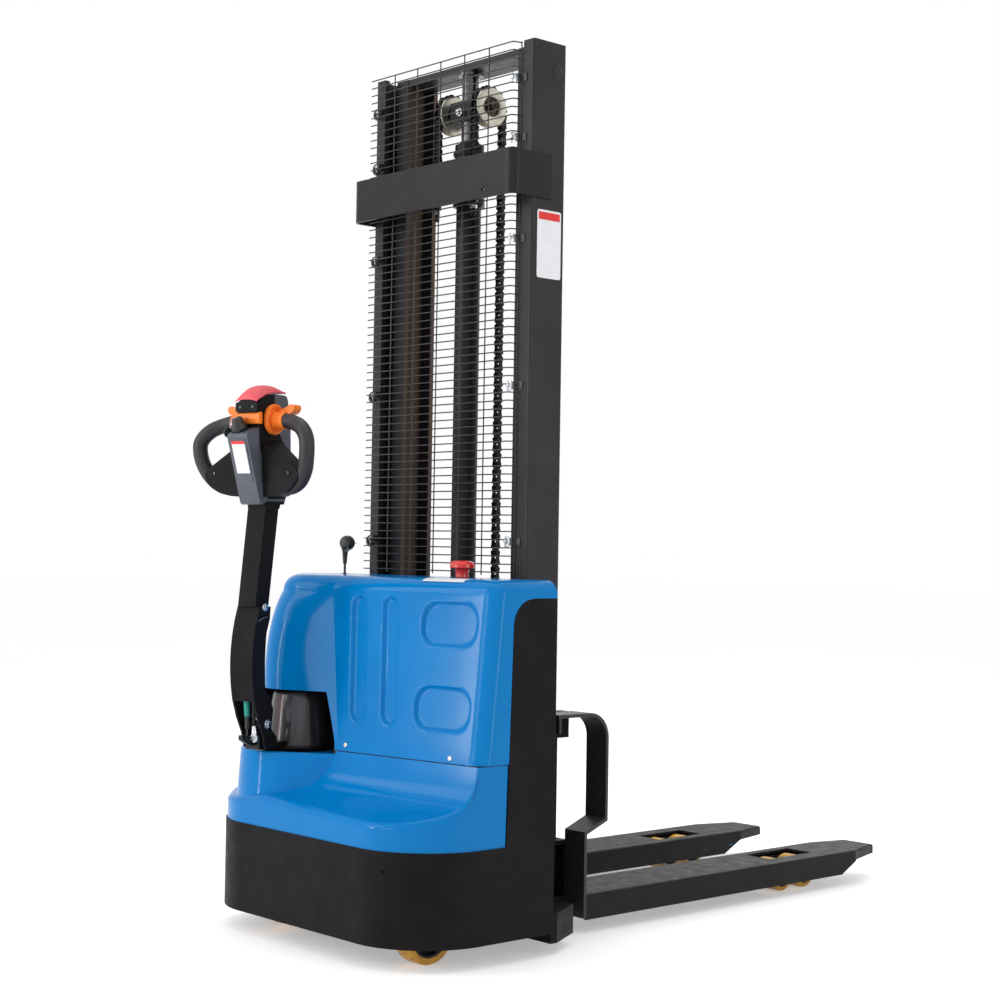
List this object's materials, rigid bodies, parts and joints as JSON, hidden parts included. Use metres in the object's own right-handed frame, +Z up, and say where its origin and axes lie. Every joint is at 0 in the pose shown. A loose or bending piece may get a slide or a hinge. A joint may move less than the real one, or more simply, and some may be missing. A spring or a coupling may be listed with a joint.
{
  "type": "pedestrian electric stacker",
  "caption": "Walk-behind electric stacker: two-stage mast with lift cylinder and chains, forks over rollered support legs, tiller-steered drive wheel under blue covers.",
  "frame": {"origin": "on the floor, midway across the machine and midway between the tiller's front and the fork tips", "axes": "+X to the right of an operator facing the forks, +Y toward the fork tips, +Z up"},
  "size_m": [0.8, 1.8433, 2.013],
  "materials": {
    "black_steel": "textured matt powder coat",
    "dark_steel": "semi-gloss paint",
    "blue_cover": "gloss moulded cover",
    "battery_case": "matt",
    "pump_block": "matt",
    "guard_wire": "black coated wire",
    "bright_steel": "bright",
    "sheave_zinc": "zinc plated",
    "chain_steel": "oiled",
    "motor_shroud": "gloss black",
    "polyurethane": "satin",
    "handle_plastic": "matt",
    "grip_rubber": "matt",
    "control_orange": "satin moulded levers",
    "stop_red": "gloss",
    "plug_black": "matt"
  },
  "bodies": {
    "chassis": {"base_shell": "black_steel", "base_deck": "dark_steel", "lower_cover": "blue_cover", "upper_cover": "blue_cover", "battery": "battery_case", "hydraulic_unit": "pump_block", "outer_channel_right": "dark_steel", "outer_channel_left": "dark_steel", "mast_band": "dark_steel", "mast_base": "black_steel", "barrel": "dark_steel", "wire_guard": "guard_wire", "chain_anchor": "dark_steel", "anchor_chains": "chain_steel", "support_leg_right": "black_steel", "support_leg_left": "black_steel", "stop_button": "stop_red", "charging_plug": "plug_black"},
    "inner_mast": {"inner_channel_right": "dark_steel", "inner_channel_left": "dark_steel", "inner_crosshead": "dark_steel", "inner_foot_plate": "dark_steel", "lift_rod": "bright_steel", "chain_yoke": "bright_steel", "fork_chains": "chain_steel", "sheave_right": "sheave_zinc", "sheave_left": "sheave_zinc"},
    "fork_carriage": {"carriage": "black_steel", "fork_right": "black_steel", "fork_left": "black_steel", "fork_strap_right": "black_steel", "fork_strap_left": "black_steel"},
    "drive_head": {"drive_unit": "dark_steel", "motor_cover": "motor_shroud"},
    "drive_wheel_body": {"drive_wheel": "polyurethane"},
    "tiller": {"tiller_arm": "dark_steel", "tiller_head": "handle_plastic", "tiller_grips": "grip_rubber", "tiller_controls": "control_orange"},
    "castor_swivel": {"castor_fork": "dark_steel"},
    "castor_wheel_body": {"castor_wheel": "polyurethane"},
    "load_roller_body_right_inner": {"load_roller_right_inner": "polyurethane"},
    "load_roller_body_right_outer": {"load_roller_right_outer": "polyurethane"},
    "load_roller_body_left_inner": {"load_roller_left_inner": "polyurethane"},
    "load_roller_body_left_outer": {"load_roller_left_outer": "polyurethane"}
  },
  "joints": [
    {"name": "mast_lift", "type": "slide", "parent": "chassis", "child": "inner_mast", "axis": [0, 0, 1], "range_m": [0, 1.42], "deforming": ["anchor_chains"]},
    {"name": "carriage_lift", "type": "slide", "parent": "inner_mast", "child": "fork_carriage", "axis": [0, 0, 1], "range_m": [0, 1.42], "deforming": ["fork_chains"]},
    {"name": "steering", "type": "hinge", "parent": "chassis", "child": "drive_head", "pos_m": [-0.2, -0.6815, 0.22], "axis": [0, 0, 1], "range_deg": [-75, 45]},
    {"name": "drive_wheel_roll", "type": "hinge", "parent": "drive_head", "child": "drive_wheel_body", "pos_m": [-0.2, -0.6815, 0.105], "axis": [0.9659, 0.2588, 0], "continuous": true},
    {"name": "tiller_tilt", "type": "hinge", "parent": "drive_head", "child": "tiller", "pos_m": [-0.15962, -0.83218, 0.473], "axis": [0.9659, 0.2588, 0], "range_deg": [0, 75]},
    {"name": "castor_swivel_turn", "type": "hinge", "parent": "chassis", "child": "castor_swivel", "pos_m": [0.284, -0.6815, 0.18], "axis": [0, 0, 1], "continuous": true},
    {"name": "castor_wheel_roll", "type": "hinge", "parent": "castor_swivel", "child": "castor_wheel_body", "pos_m": [0.284, -0.7055, 0.066], "axis": [1, 0, 0], "continuous": true},
    {"name": "load_roller_right_inner_roll", "type": "hinge", "parent": "chassis", "child": "load_roller_body_right_inner", "pos_m": [0.195, 0.5425, 0.04], "axis": [1, 0, 0], "continuous": true},
    {"name": "load_roller_right_outer_roll", "type": "hinge", "parent": "chassis", "child": "load_roller_body_right_outer", "pos_m": [0.195, 0.6315, 0.04], "axis": [1, 0, 0], "continuous": true},
    {"name": "load_roller_left_inner_roll", "type": "hinge", "parent": "chassis", "child": "load_roller_body_left_inner", "pos_m": [-0.195, 0.5425, 0.04], "axis": [1, 0, 0], "continuous": true},
    {"name": "load_roller_left_outer_roll", "type": "hinge", "parent": "chassis", "child": "load_roller_body_left_outer", "pos_m": [-0.195, 0.6315, 0.04], "axis": [1, 0, 0], "continuous": true}
  ],
  "couplings": [
    {"joint": "carriage_lift", "follows": "mast_lift", "ratio": 1}
  ]
}
